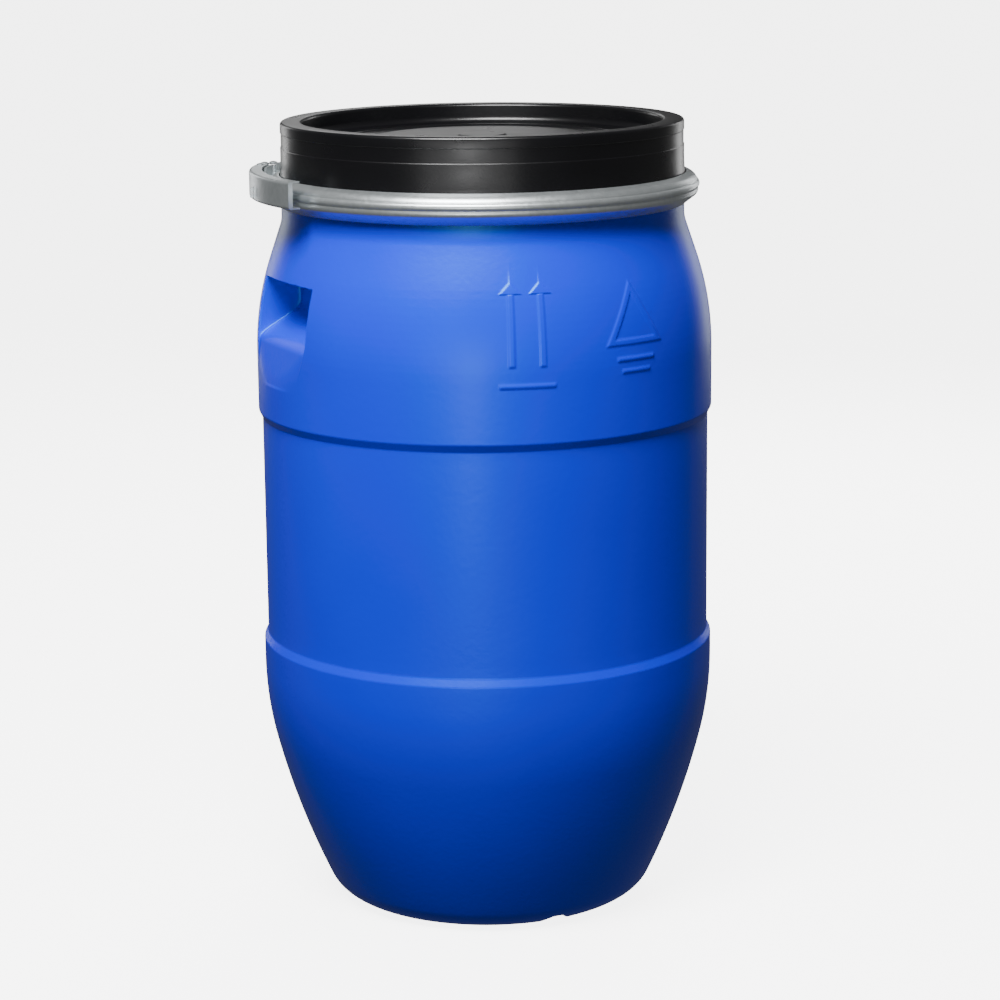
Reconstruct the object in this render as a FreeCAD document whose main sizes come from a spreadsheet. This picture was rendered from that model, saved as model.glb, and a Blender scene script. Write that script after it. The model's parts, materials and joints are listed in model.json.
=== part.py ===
"""Open head drum, nominal 120 litres, with lid, gasket and lever-lock closing ring.

Millimetres. The origin is the centre of the foot, +Z is up, the hand grips face -X and +X and the
mould parting line with the base notch is at -Y.
"""
import FreeCAD, Part
import math
import os
import Sketcher

os.makedirs("parts", exist_ok=True)
doc = FreeCAD.newDocument("open_head_drum")
sheet = doc.addObject("Spreadsheet::Sheet", "Sizes")

SIZES = [
    # alias, value, meaning
    ("body_radius", 239.3, "largest outside radius of the shell"),
    ("waist_radius", 235.3, "outside radius between the two ledges"),
    ("shell_wall", 4, "wall of the shell"),
    ("foot_radius", 142, "outside radius of the flat foot ring"),
    ("foot_inner_radius", 134, "inside radius of the flat foot ring"),
    ("push_up_radius", 118, "radius of the raised middle of the base"),
    ("push_up", 10, "height of the raised middle of the base"),
    ("chime_round", 38.2, "rounding where the foot turns up"),
    ("chime_radius", 174.6, "outside radius where the chime rounding ends"),
    ("chime_top", 22, "height where the chime rounding ends"),
    ("cone_round", 850, "radius of curvature of the lower cone"),
    ("cone_top_radius", 228.7, "outside radius where the lower cone turns upright"),
    ("cone_top", 174.6, "height where the lower cone turns upright"),
    ("turn_round", 352, "radius of curvature from the cone to the upright wall"),
    ("turn_top", 260.3, "height where the wall becomes upright"),
    ("low_ledge", 284, "height of the lower ledge"),
    ("low_ledge_top", 292, "height where the lower ledge meets the waist"),
    ("high_ledge", 523, "height where the waist meets the upper ledge"),
    ("high_ledge_top", 531, "height of the upper ledge"),
    ("ledge_round", 4, "rounding of the ledges"),
    ("shoulder_start", 594, "height where the shoulder starts to curve in"),
    ("shoulder_round", 300, "radius of curvature of the shoulder"),
    ("shoulder_end_radius", 223.4, "outside radius where the shoulder becomes a cone"),
    ("shoulder_end", 690, "height where the shoulder becomes a cone"),
    ("neck_radius", 210.3, "outside radius of the neck under the closing ring"),
    ("neck_start_radius", 211.9, "outside radius where the shoulder cone ends"),
    ("neck_start", 724, "height where the shoulder cone ends"),
    ("neck_round", 36, "rounding between shoulder cone and neck"),
    ("neck_low", 735.1, "height where the neck becomes upright"),
    ("flange_low", 747.6, "height where the mouth flange starts under the ring"),
    ("flange_edge_low", 753.6, "height of the lower corner of the flange's edge"),
    ("flange_top", 757, "height of the mouth, where the gasket lands"),
    ("flange_radius", 219.8, "outside radius of the mouth flange"),
    ("mouth_radius", 196, "inside radius of the mouth"),
    ("mouth_lip", 9, "depth of the mouth flange on the inside"),
    ("mouth_slope", 6, "height of the slope under the mouth flange on the inside"),
    ("chime_inset", 0.4, "share of the wall by which the inside of the chime ends higher"),
    ("bore_radius", 206.3, "inside radius of the neck"),
    ("grip_low", 563, "lowest point of the hand grip's mouth"),
    ("grip_lip", 676, "height of the upper edge of the hand grip"),
    ("grip_crease", 613, "height where the grip's lower face turns inwards"),
    ("grip_crease_radius", 229, "distance of that crease from the drum's axis"),
    ("grip_back_low", 641, "height where the grip's shelf meets its back wall"),
    ("grip_back_high", 668, "height where the grip's ceiling meets its back wall"),
    ("grip_back_radius", 184, "distance of the grip's back wall from the drum's axis"),
    ("grip_mouth_radius", 240.5, "distance from the axis of the grip's lowest point"),
    ("grip_outside", 265, "distance from the axis where the grip's tool ends"),
    ("grip_inside", 172, "distance from the axis where the grip's tool starts"),
    ("grip_half_width", 55, "half the grip's width at the tool's start"),
    ("grip_low_half_width", 42, "half the grip's width at its foot at the tool's start"),
    ("grip_side_start", 618, "height where the grip's sides become upright"),
    ("grip_corner", 4, "rounding of the grip's lower corners at the tool's start"),
    ("grip_tool_low", 578, "height of the tool's lower edge at its start"),
    ("grip_tool_top", 677.5, "height of the tool's upper edge at its start"),
    ("grip_draft", 9, "draft angle of the grip's end walls, degrees"),
    ("emblem_height", 1, "how far the moulded emblems stand out"),
    ("emblem_shift", 60, "distance from an emblem's middle to its sketch's edge"),
    ("emblem_stroke", 6, "width of the emblems' strokes"),
    ("bar_stroke", 4, "height of the bars under the emblems"),
    ("bar_width", 56, "width of the bar under the arrows"),
    ("bar_low", 587, "height of the bar under the arrows"),
    ("row_width_1", 47, "width of the upper bar under the triangle"),
    ("row_width_2", 36, "width of the lower bar under the triangle"),
    ("row_step", 12, "distance between the bars under the triangle"),
    ("row_gap", 4, "distance that the bars keep from the triangle on top of that step"),
    ("arrows_angle", 255, "polar angle of the arrows, degrees"),
    ("arrow_spacing", 31, "distance between the two arrows"),
    ("arrow_head", 23, "width of an arrow's head"),
    ("arrow_low", 608, "height of the arrows' feet"),
    ("arrow_tip", 690, "height of the arrows' tips"),
    ("triangle_angle", 284, "polar angle of the triangle, degrees"),
    ("triangle_half_width", 36, "half the width of the triangle"),
    ("triangle_low", 622, "height of the triangle's foot"),
    ("triangle_high", 684, "height of the triangle's tip"),
    ("notch_round", 20, "radius of the notch in the foot"),
    ("notch_height", 10.5, "height of the notch in the foot"),
    ("notch_depth", 10, "how far the notch reaches under the foot"),
    ("rim_top", 830.5, "height of the lid's rim"),
    ("rim_radius", 210, "outside radius of the lid's rim"),
    ("rim_inner_radius", 187.2, "inside radius of the lid's rim"),
    ("rim_round", 3, "rounding of the rim's edges"),
    ("lid_wall", 4, "wall of the lid"),
    ("lid_floor", 810, "height of the lid's recessed floor"),
    ("boss_radius", 24, "radius of the boss in the middle of the lid"),
    ("boss_rise", 5, "height of that boss over the floor"),
    ("middle_radius", 112, "radius of the lid's raised middle"),
    ("middle_rise", 3, "height of the raised middle over the floor"),
    ("middle_slope", 4, "width of the slope round the raised middle"),
    ("bead_radius", 147, "inner radius of the bead on the lid's floor"),
    ("bead_width", 9, "width of that bead"),
    ("bead_rise", 1.4, "height of that bead"),
    ("bead_slope", 2, "width of the slopes beside that bead and round the boss"),
    ("band_low", 804, "lower edge of the shallow band round the lid's rim"),
    ("band_high", 819.5, "upper edge of that band"),
    ("band_depth", 0.7, "depth of that band"),
    ("flare_start", 795, "height where the lid's wall starts to flare out"),
    ("flare_low", 777, "height where the flare ends"),
    ("flare", 0.8, "how far the flare comes out"),
    ("flare_round", 200, "radius of curvature of the flare"),
    ("clamp_high", 772.4, "height where the lid's clamped slope starts"),
    ("clamp_step_radius", 214.9, "outside radius where that slope gets steeper"),
    ("clamp_step", 771.2, "height where that slope gets steeper"),
    ("flange_roof", 767, "height of the lid's wall over the gasket, on the inside"),
    ("lid_flange_radius", 220.9, "outside radius of the lid's clamping flange"),
    ("lid_flange_low", 757.6, "underside of the lid's clamping flange"),
    ("lid_flange_high", 765.6, "height of the upper corner of the flange's edge"),
    ("plug_radius", 194.6, "outside radius of the collar that enters the mouth"),
    ("plug_low", 744, "lowest point of that collar"),
    ("gasket_inner_radius", 199, "inside radius of the gasket"),
    ("gasket_outer_radius", 210, "outside radius of the gasket"),
    ("gasket_low", 757.3, "underside of the gasket"),
    ("gasket_high", 763.2, "top of the gasket"),
    ("gasket_round", 1.5, "rounding of the gasket's corners"),
    ("gasket_play", 0.2, "play of the gasket in its seat in the lid"),
    ("ring_lip_radius", 212.1, "outside radius of the closing ring's upper edge"),
    ("ring_lip", 776.2, "height of the ring's upper edge"),
    ("ring_bend_radius", 215.8, "outside radius where the ring bends down"),
    ("ring_bend", 775, "height where the ring bends down"),
    ("ring_bend_round", 12, "radius of curvature of that bend"),
    ("high_crease_radius", 223.8, "outside radius of the crease over the ring's nose"),
    ("high_crease", 767.8, "height of the crease over the ring's nose"),
    ("ring_nose_round", 4.7, "radius of curvature of the ring's nose"),
    ("low_crease_radius", 224.6, "outside radius of the crease under the ring's nose"),
    ("low_crease", 759.8, "height of the crease under the ring's nose"),
    ("ring_foot_round", 6, "radius of curvature of the ridge under the nose"),
    ("ring_foot_radius", 222, "outside radius where the ring's lower flank starts"),
    ("ring_foot", 752.4, "height where the ring's lower flank starts"),
    ("ring_tip_radius", 211.7, "outside radius of the ring's lower edge"),
    ("ring_tip", 744.3, "height of the ring's lower edge"),
    ("ring_wall", 1.5, "thickness of the closing ring's strip"),
    ("ring_nose", 226.5, "outside radius of the closing ring"),
    ("ring_gap", 1.8, "half the gap between the ring's ends at the lock, degrees"),
    ("ring_seam", 0.2, "half the seam at the back, degrees"),
    ("lock_angle", 141, "polar angle of the gap between the ring's ends, degrees"),
    ("lock_level", 768.2, "height of the lock's middle"),
    ("pivot_radius", 233, "distance of the lock's pivots from the drum's axis, across the gap"),
    ("pivot_offset", 15, "distance of the lever's pivot from the middle of the gap"),
    ("crank", 14, "distance between the lever's two pins"),
    ("pin_radius", 2.5, "radius of the lock's pins"),
    ("pin_play", 0.06, "radial play of the lock's pins"),
    ("eye_radius", 4.4, "outside radius of the link's eyes"),
    ("link_wall", 1.5, "thickness of the link's strap"),
    ("link_width", 18, "width of the link"),
    ("ear_radius", 4.6, "rounding of the brackets' ears"),
    ("bracket_wall", 1.9, "thickness of the brackets' sheet"),
    ("bracket_seat", 226.6, "inside radius of the brackets' foot"),
    ("bracket_height", 24, "height of the brackets"),
    ("bracket_start", 2, "polar angle from the gap to a bracket's foot, degrees"),
    ("bracket_end", 11.4, "polar angle from the gap to a bracket's far end, degrees"),
    ("rivet_angle_1", 6, "polar angle from the gap to a bracket's first rivet, degrees"),
    ("rivet_angle_2", 9.8, "polar angle from the gap to a bracket's second rivet, degrees"),
    ("rivet_level", 763, "height of the brackets' rivets and of the seal lug's middle"),
    ("rivet_head", 4.4, "radius of the rivets' heads"),
    ("rivet_rise", 1.3, "height of the rivets' domes"),
    ("rivet_edge", 0.5, "height of the straight edge of the rivets' heads"),
    ("lever_height", 28, "height of the lever"),
    ("lever_wall", 1.5, "thickness of the lever's sheet"),
    ("lever_outer", 243, "outside radius of the lever"),
    ("lever_inner", 229.5, "inside radius of the lever's flanges"),
    ("lever_span", 51, "polar angle from the gap to the lever's free end, degrees"),
    ("lever_end_wall", 0.4, "polar angle of the folded lip at the lever's free end, degrees"),
    ("lever_lip", 5, "depth of that lip"),
    ("lever_web_start", 11.5, "polar angle from the gap to the lever's web, degrees"),
    ("lever_fold", 3.2, "outside rounding of the lever's folds"),
    ("lug_angle", 29, "polar angle from the gap to the seal lug, degrees"),
    ("lug_height", 10, "height of the seal lug"),
    ("lug_outer", 246.5, "outer end of the seal lug"),
    ("lug_thickness", 2, "thickness of the seal lug"),
    ("lug_play", 1.3, "play of the seal lug in the lever's slot"),
    ("lug_foot", 2.2, "half the polar angle of the seal lug's foot, degrees"),
    ("seal_hole_radius", 1.3, "radius of the hole for a seal's wire"),
    ("seal_hole_edge", 1, "sheet left outside that hole"),
    ("cut_reach", 6, "how far a cutting tool passes the sheet that it cuts"),
    ("sketch_shift", 20, "distance that keeps a strap's sketch off its axes"),
]
VALUES = {}
for row, (alias, value, meaning) in enumerate(SIZES, start=1):
    sheet.set("A%d" % row, meaning)
    sheet.set("B%d" % row, str(value))
    sheet.setAlias("B%d" % row, alias)
    VALUES[alias] = value


class Size:
    """A number together with the expression that ties it to the sheet."""

    def __init__(self, value, text):
        self.value = value
        self.text = text

    def __add__(self, other):
        other = as_size(other)
        return Size(self.value + other.value, "(%s + %s)" % (self.text, other.text))

    def __sub__(self, other):
        other = as_size(other)
        return Size(self.value - other.value, "(%s - %s)" % (self.text, other.text))

    def __mul__(self, other):
        other = as_size(other)
        return Size(self.value * other.value, "(%s * %s)" % (self.text, other.text))

    def __truediv__(self, other):
        other = as_size(other)
        return Size(self.value / other.value, "(%s / %s)" % (self.text, other.text))


def as_size(number):
    return number if isinstance(number, Size) else Size(number, repr(number))


def size(alias):
    return Size(VALUES[alias], "Sizes." + alias)


def cosine(angle):
    return Size(math.cos(math.radians(angle.value)), "cos(%s * 1 deg)" % angle.text)


def sine(angle):
    return Size(math.sin(math.radians(angle.value)), "sin(%s * 1 deg)" % angle.text)


def bind(target, prop, amount):
    target.setExpression(prop, as_size(amount).text)


def origin_plane(body, role):
    return next(feature for feature in body.Origin.OriginFeatures if feature.Role == role)


def arc_centre(start, end, radius):
    """Centre of the arc from start to end; a positive radius turns left, a negative one right."""
    middle = (start + end) * 0.5
    chord = end - start
    left = FreeCAD.Vector(-chord.y, chord.x, 0)
    left.normalize()
    reach = math.sqrt(max(radius * radius - chord.Length * chord.Length / 4, 0))
    return middle + left * math.copysign(reach, radius)


def draw_outline(sketch, corners):
    """Draw a closed outline with every corner and radius tied to the sheet.

    A corner is (across, up), or (across, up, radius) when an arc leads to it from the corner before.
    """
    points = [FreeCAD.Vector(as_size(c[0]).value, as_size(c[1]).value, 0) for c in corners]
    starts = []
    ends = []
    bound = []
    for index, corner in enumerate(corners):
        before = points[index - 1]
        here = points[index]
        if len(corner) == 2:
            edge = sketch.addGeometry(Part.LineSegment(before, here), False)
            starts.append((edge, 1))
            ends.append((edge, 2))
            continue
        radius = corner[2]
        centre = arc_centre(before, here, radius.value)
        circle = Part.Circle(centre, FreeCAD.Vector(0, 0, 1), abs(radius.value))
        first, last = (before, here) if radius.value > 0 else (here, before)
        angles = [math.atan2(p.y - centre.y, p.x - centre.x) for p in (first, last)]
        edge = sketch.addGeometry(Part.ArcOfCircle(circle, angles[0], angles[1]), False)
        starts.append((edge, 1) if radius.value > 0 else (edge, 2))
        ends.append((edge, 2) if radius.value > 0 else (edge, 1))
        place = sketch.addConstraint(Sketcher.Constraint("Radius", edge, abs(radius.value)))
        length = radius if radius.value > 0 else as_size(0) - radius
        bound.append((place, length))
    for index, corner in enumerate(corners):
        edge, end = ends[index]
        following = starts[(index + 1) % len(corners)]
        sketch.addConstraint(Sketcher.Constraint("Coincident", edge, end, *following))
        for kind, axis, amount in (("DistanceX", -2, corner[0]), ("DistanceY", -1, corner[1])):
            amount = as_size(amount)
            if amount.value == 0:
                sketch.addConstraint(Sketcher.Constraint("PointOnObject", edge, end, axis))
                continue
            place = sketch.addConstraint(Sketcher.Constraint(kind, -1, 1, edge, end, amount.value))
            bound.append((place, amount))
    for place, amount in bound:
        sketch.setExpression("Constraints[%d]" % place, amount.text)


def draw_circle(sketch, across, up, radius):
    """Draw a circle with its centre and radius tied to the sheet."""
    centre = FreeCAD.Vector(as_size(across).value, as_size(up).value, 0)
    circle = Part.Circle(centre, FreeCAD.Vector(0, 0, 1), radius.value)
    edge = sketch.addGeometry(circle, False)
    place = sketch.addConstraint(Sketcher.Constraint("Radius", edge, radius.value))
    sketch.setExpression("Constraints[%d]" % place, radius.text)
    for kind, axis, amount in (("DistanceX", -2, across), ("DistanceY", -1, up)):
        amount = as_size(amount)
        if amount.value == 0:
            sketch.addConstraint(Sketcher.Constraint("PointOnObject", edge, 3, axis))
            continue
        place = sketch.addConstraint(Sketcher.Constraint(kind, -1, 1, edge, 3, amount.value))
        sketch.setExpression("Constraints[%d]" % place, amount.text)


def new_body(name):
    body = doc.addObject("PartDesign::Body", name)
    body.Label = name
    return body


def new_sketch(body, name, role="XY_Plane"):
    sketch = body.newObject("Sketcher::SketchObject", name)
    sketch.AttachmentSupport = [(origin_plane(body, role), "")]
    sketch.MapMode = "FlatFace"
    return sketch


def turned(name, corners, angle=None):
    """A body turned about Z; with an angle, a sector of it centred on +X."""
    body = new_body(name)
    sketch = new_sketch(body, name + "_section", "XZ_Plane")
    draw_outline(sketch, corners)
    turn = body.newObject("PartDesign::Revolution", name + "_turn")
    turn.Profile = sketch
    turn.ReferenceAxis = (sketch, ["V_Axis"])
    turn.Angle = 360
    if angle is not None:
        turn.Midplane = True
        bind(turn, "Angle", angle)
    body.Tip = turn
    return body


def pad(body, name, corners, length):
    """Add a pad, symmetric about the body's XY plane."""
    sketch = new_sketch(body, name + "_outline")
    draw_outline(sketch, corners)
    feature = body.newObject("PartDesign::Pad", name)
    feature.Profile = sketch
    feature.SideType = "Symmetric"
    bind(feature, "Length", length)
    body.Tip = feature
    return feature


def pocket(body, name, draw, length=None, level=None):
    """Cut a pocket, symmetric about a level of the body, right through where no length is given."""
    doc.recompute()
    before = body.Shape.Volume
    sketch = new_sketch(body, name + "_outline")
    if level is not None:
        bind(sketch, "AttachmentOffset.Base.z", level)
    draw(sketch)
    feature = body.newObject("PartDesign::Pocket", name)
    feature.Profile = sketch
    feature.SideType = "Symmetric"
    if length is None:
        feature.Type = "ThroughAll"
    else:
        bind(feature, "Length", length)
    body.Tip = feature
    doc.recompute()
    if body.Shape.Volume >= before:
        raise RuntimeError(name + " cuts nothing")
    return feature


def put(target, turn=None, radius=None, along=None, height=None):
    """Place an object: turned about Z, then out to a radius and along the turned Y axis, and up."""
    turn = as_size(0 if turn is None else turn)
    radius = as_size(0 if radius is None else radius)
    along = as_size(0 if along is None else along)
    height = as_size(0 if height is None else height)
    target.Placement = FreeCAD.Placement(
        FreeCAD.Vector(0, 0, 0), FreeCAD.Rotation(FreeCAD.Vector(0, 0, 1), turn.value)
    )
    bind(target, "Placement.Rotation.Angle", turn)
    bind(target, "Placement.Base.x", radius * cosine(turn) - along * sine(turn))
    bind(target, "Placement.Base.y", radius * sine(turn) + along * cosine(turn))
    bind(target, "Placement.Base.z", height)


# ---------------------------------------------------------------- shell of the drum
def shell_section(inset):
    """Section of the shell's outside, moved inwards by inset, from the axis round to the axis."""
    inner = size("shell_wall").value == as_size(inset).value
    body = size("body_radius") - inset
    waist = size("waist_radius") - inset
    section = [
        (0, size("push_up") + inset),
        (size("push_up_radius"), size("push_up") + inset),
        (size("foot_inner_radius"), as_size(inset)),
        (size("foot_radius"), as_size(inset)),
        (size("chime_radius") - inset, size("chime_top") + size("chime_inset") * inset,
         size("chime_round")),
        (size("cone_top_radius") - inset, size("cone_top"), size("cone_round")),
        (body, size("turn_top"), size("turn_round")),
        (body, size("low_ledge")),
        (waist, size("low_ledge_top")),
        (waist, size("high_ledge")),
        (body, size("high_ledge_top")),
        (body, size("shoulder_start")),
        (size("shoulder_end_radius") - inset, size("shoulder_end"), size("shoulder_round")),
        (size("neck_start_radius") - inset, size("neck_start")),
        (size("neck_radius") - inset, size("neck_low"), as_size(0) - size("neck_round")),
    ]
    if inner:
        mouth_low = size("flange_top") - size("mouth_lip")
        section += [
            (size("bore_radius"), mouth_low - size("mouth_slope")),
            (size("mouth_radius"), mouth_low),
            (size("mouth_radius"), size("flange_top") + size("cut_reach")),
            (0, size("flange_top") + size("cut_reach")),
        ]
        return section
    return section + [
        (size("neck_radius") - inset, size("flange_low")),
        (size("flange_radius") - inset, size("flange_edge_low")),
        (size("flange_radius") - inset, size("flange_top")),
        (0, size("flange_top")),
    ]


def round_ledges(body):
    """Round the edges of the two ledges."""
    doc.recompute()
    solid = body.Tip
    heights = [VALUES[k] for k in ("low_ledge", "low_ledge_top", "high_ledge", "high_ledge_top")]
    edges = []
    for number, edge in enumerate(solid.Shape.Edges, start=1):
        box = edge.BoundBox
        if box.ZLength < 0.01 and min(abs(box.ZMin - z) for z in heights) < 0.01:
            edges.append("Edge%d" % number)
    fillet = body.newObject("PartDesign::Fillet", body.Name + "_ledges")
    fillet.Base = (solid, edges)
    bind(fillet, "Radius", size("ledge_round"))
    body.Tip = fillet


def standing_sketch(name, turn, shift):
    """A sketch that stands upright: across is the turned Y axis starting at -shift, up is Z."""
    sketch = doc.addObject("Sketcher::SketchObject", name)
    face_out = FreeCAD.Rotation(FreeCAD.Vector(1, 1, 1), 120)
    spin = FreeCAD.Rotation(FreeCAD.Vector(0, 0, 1), turn.value)
    start = spin.multVec(FreeCAD.Vector(0, -shift.value, 0))
    sketch.Placement = FreeCAD.Placement(start, spin * face_out)
    bind(sketch, "Placement.Base.x", shift * sine(turn))
    bind(sketch, "Placement.Base.y", as_size(0) - shift * cosine(turn))
    return sketch


def grip_tool(name, grow):
    """The hollow of the hand grip at +X, with every wall moved outwards by grow."""
    side = doc.addObject("Sketcher::SketchObject", name + "_side")
    side.Placement = FreeCAD.Placement(
        FreeCAD.Vector(0, 0, 0), FreeCAD.Rotation(FreeCAD.Vector(1, 0, 0), 90)
    )
    draw_outline(side, [
        (size("grip_mouth_radius") - grow, size("grip_low")),
        (size("grip_outside"), size("grip_low") - grow),
        (size("grip_outside"), size("grip_lip") + grow),
        (size("grip_crease_radius"), size("grip_lip") + grow),
        (size("grip_back_radius") - grow, size("grip_back_high") + grow),
        (size("grip_back_radius") - grow, size("grip_back_low") - grow * 0.7),
        (size("grip_crease_radius") - grow, size("grip_crease") - grow * 0.5),
    ])
    profile = doc.addObject("Part::Extrusion", name + "_profile")
    profile.Base = side
    profile.DirMode = "Custom"
    profile.Dir = FreeCAD.Vector(0, 1, 0)
    profile.Solid = True
    profile.Symmetric = True
    bind(profile, "LengthFwd", size("grip_half_width") * 3)

    half = size("grip_half_width") + grow
    low_half = size("grip_low_half_width") + grow
    low = size("grip_tool_low") - grow
    corner = size("grip_corner")
    front = standing_sketch(name + "_front", as_size(0), half)
    bind(front, "Placement.Base.x", size("grip_inside") - grow)
    draw_outline(front, [
        (half - low_half + corner, low, corner),
        (half + low_half - corner, low),
        (half + low_half, low + corner, corner),
        (half * 2, size("grip_side_start")),
        (half * 2, size("grip_tool_top") + grow),
        (0, size("grip_tool_top") + grow),
        (0, size("grip_side_start")),
        (half - low_half, low + corner),
    ])
    mouth = doc.addObject("Part::Extrusion", name + "_mouth")
    mouth.Base = front
    mouth.DirMode = "Custom"
    mouth.Dir = FreeCAD.Vector(1, 0, 0)
    mouth.Solid = True
    bind(mouth, "LengthFwd", size("grip_outside") - size("grip_inside") + grow)
    bind(mouth, "TaperAngle", size("grip_draft"))
    return combined("Common", name, profile, mouth)


def combined(kind, name, base, tool):
    result = doc.addObject("Part::" + kind, name)
    result.Base = base
    result.Tool = tool
    return result


def opposite(name, source):
    """The mirror image of an object on the other side of the YZ plane."""
    copy = doc.addObject("Part::Mirroring", name)
    copy.Source = source
    copy.Normal = FreeCAD.Vector(1, 0, 0)
    return copy


def notch_tool(name, grow):
    """The round-topped notch in the foot at -Y, with its walls moved outwards by grow."""
    notch = doc.addObject("Part::Cylinder", name)
    lay_down = FreeCAD.Rotation(FreeCAD.Vector(1, 0, 0), 90)
    notch.Placement = FreeCAD.Placement(FreeCAD.Vector(0, 0, 0), lay_down)
    bind(notch, "Radius", size("notch_round") + grow)
    bind(notch, "Height", size("notch_depth") * 4)
    bind(notch, "Placement.Base.y", size("notch_depth") + grow - size("foot_radius"))
    bind(notch, "Placement.Base.z", size("notch_height") - size("notch_round"))
    return notch


def hollows(name, grow):
    """The hollows of both hand grips and of the foot's notch."""
    east = grip_tool(name + "_east", grow)
    group = doc.addObject("Part::Compound", name)
    group.Links = [east, opposite(name + "_west", east), notch_tool(name + "_notch", grow)]
    return group


def emblem_prism(name, turn, draw):
    """Emblem outlines drawn upright at a polar angle and pushed out through the wall."""
    shift = size("emblem_shift")
    sketch = standing_sketch(name + "_outline", turn, shift)
    draw(sketch, shift)
    prism = doc.addObject("Part::Extrusion", name)
    prism.Base = sketch
    prism.DirMode = "Normal"
    prism.Solid = True
    bind(prism, "LengthFwd", size("grip_outside"))
    return prism


def draw_bar(sketch, middle, low, width, height):
    half = width / 2
    draw_outline(sketch, [
        (middle - half, low),
        (middle + half, low),
        (middle + half, low + height),
        (middle - half, low + height),
    ])


def draw_arrows(sketch, middle):
    """Two plain arrows that point up, over a bar."""
    stroke = size("emblem_stroke")
    head = size("arrow_head")
    low = size("arrow_low")
    tip = size("arrow_tip")
    neck = tip - head / 2
    for side in (-1, 1):
        centre = middle + size("arrow_spacing") / 2 * side
        draw_outline(sketch, [
            (centre - stroke / 2, low),
            (centre + stroke / 2, low),
            (centre + stroke / 2, neck),
            (centre + head / 2, neck),
            (centre, tip),
            (centre - head / 2, neck),
            (centre - stroke / 2, neck),
        ])
    draw_bar(sketch, middle, size("bar_low"), size("bar_width"), size("bar_stroke"))


def draw_triangle(sketch, middle):
    """A plain triangular frame over two plain bars."""
    stroke = size("emblem_stroke")
    low = size("triangle_low")
    high = size("triangle_high")
    half = size("triangle_half_width")
    for inset in (0, 1):
        draw_outline(sketch, [
            (middle - half + stroke * inset * 1.9, low + stroke * inset),
            (middle + half - stroke * inset * 1.9, low + stroke * inset),
            (middle, high - stroke * inset * 2.2),
        ])
    for row in (1, 2):
        level = low - size("row_step") * row - size("row_gap")
        draw_bar(sketch, middle, level, size("row_width_%d" % row), size("bar_stroke"))


def make_drum_body():
    envelope = turned("shell_outside", shell_section(0))
    skin = turned("shell_skin", shell_section(as_size(0) - size("emblem_height")))
    cavity = turned("shell_inside", shell_section(size("shell_wall")))
    for body in (envelope, skin, cavity):
        round_ledges(body)
    prisms = doc.addObject("Part::Compound", "emblem_prisms")
    prisms.Links = [
        emblem_prism("arrows", size("arrows_angle"), draw_arrows),
        emblem_prism("triangle", size("triangle_angle"), draw_triangle),
    ]
    emblems = combined("Common", "emblems", prisms, skin)
    marked = combined("Fuse", "marked_shell", envelope, emblems)
    gripped = combined("Cut", "gripped_shell", marked, hollows("hollows", as_size(0)))
    room = combined("Cut", "room_inside", cavity, hollows("hollow_walls", size("shell_wall")))
    return combined("Cut", "drum_body", gripped, room)


# ---------------------------------------------------------------- lid and gasket
def make_lid():
    wall = size("lid_wall")
    floor = size("lid_floor")
    rim = size("rim_radius")
    top = size("rim_top")
    inner = size("rim_inner_radius")
    edge = size("rim_round")
    collar = size("plug_radius")
    under = floor - wall
    middle = size("middle_radius")
    bead = size("bead_radius")
    slope = size("bead_slope")
    band = size("band_depth")
    flange = size("lid_flange_radius")
    flange_low = size("lid_flange_low")
    play = size("gasket_play")
    seat_inner = size("gasket_inner_radius") - play
    seat_outer = size("gasket_outer_radius") + play
    seat_top = size("gasket_high") + play
    collar_top = flange_low + 1
    roof = size("flange_roof")
    return turned("lid", [
        (0, floor + size("boss_rise")),
        (size("boss_radius"), floor + size("boss_rise")),
        (size("boss_radius") + slope, floor + size("middle_rise")),
        (middle, floor + size("middle_rise")),
        (middle + size("middle_slope"), floor),
        (bead, floor),
        (bead + slope, floor + size("bead_rise")),
        (bead + size("bead_width") - slope, floor + size("bead_rise")),
        (bead + size("bead_width"), floor),
        (inner - edge * 2, floor),
        (inner, floor + edge * 2, edge * 2),
        (inner, top - edge),
        (inner + edge, top, as_size(0) - edge),
        (rim - edge, top),
        (rim, top - edge, as_size(0) - edge),
        (rim, size("band_high")),
        (rim - band, size("band_high") - band),
        (rim - band, size("band_low") + band),
        (rim, size("band_low")),
        (rim, size("flare_start")),
        (rim + size("flare"), size("flare_low"), size("flare_round")),
        (rim + size("flare"), size("clamp_high")),
        (size("clamp_step_radius"), size("clamp_step")),
        (flange, size("lid_flange_high")),
        (flange, flange_low),
        (seat_outer, flange_low),
        (seat_outer, seat_top),
        (seat_inner, seat_top),
        (seat_inner, collar_top),
        (collar, collar_top),
        (collar, size("plug_low") + slope),
        (collar - slope, size("plug_low")),
        (collar - wall, size("plug_low")),
        (collar - wall, roof),
        (rim - wall, roof + slope),
        (rim - wall, top - wall),
        (inner + wall, top - wall),
        (inner + wall, under + 1),
        (inner + wall - 1, under),
        (middle - slope, under),
        (middle - slope * 2, under + size("middle_rise")),
        (0, under + size("middle_rise")),
    ])


def make_gasket():
    inner = size("gasket_inner_radius")
    outer = size("gasket_outer_radius")
    low = size("gasket_low")
    high = size("gasket_high")
    soft = size("gasket_round")
    return turned("gasket", [
        (inner + soft, low, soft),
        (outer - soft, low),
        (outer, low + soft, soft),
        (outer, high - soft),
        (outer - soft, high, soft),
        (inner + soft, high),
        (inner, high - soft, soft),
        (inner, low + soft),
    ])


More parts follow.
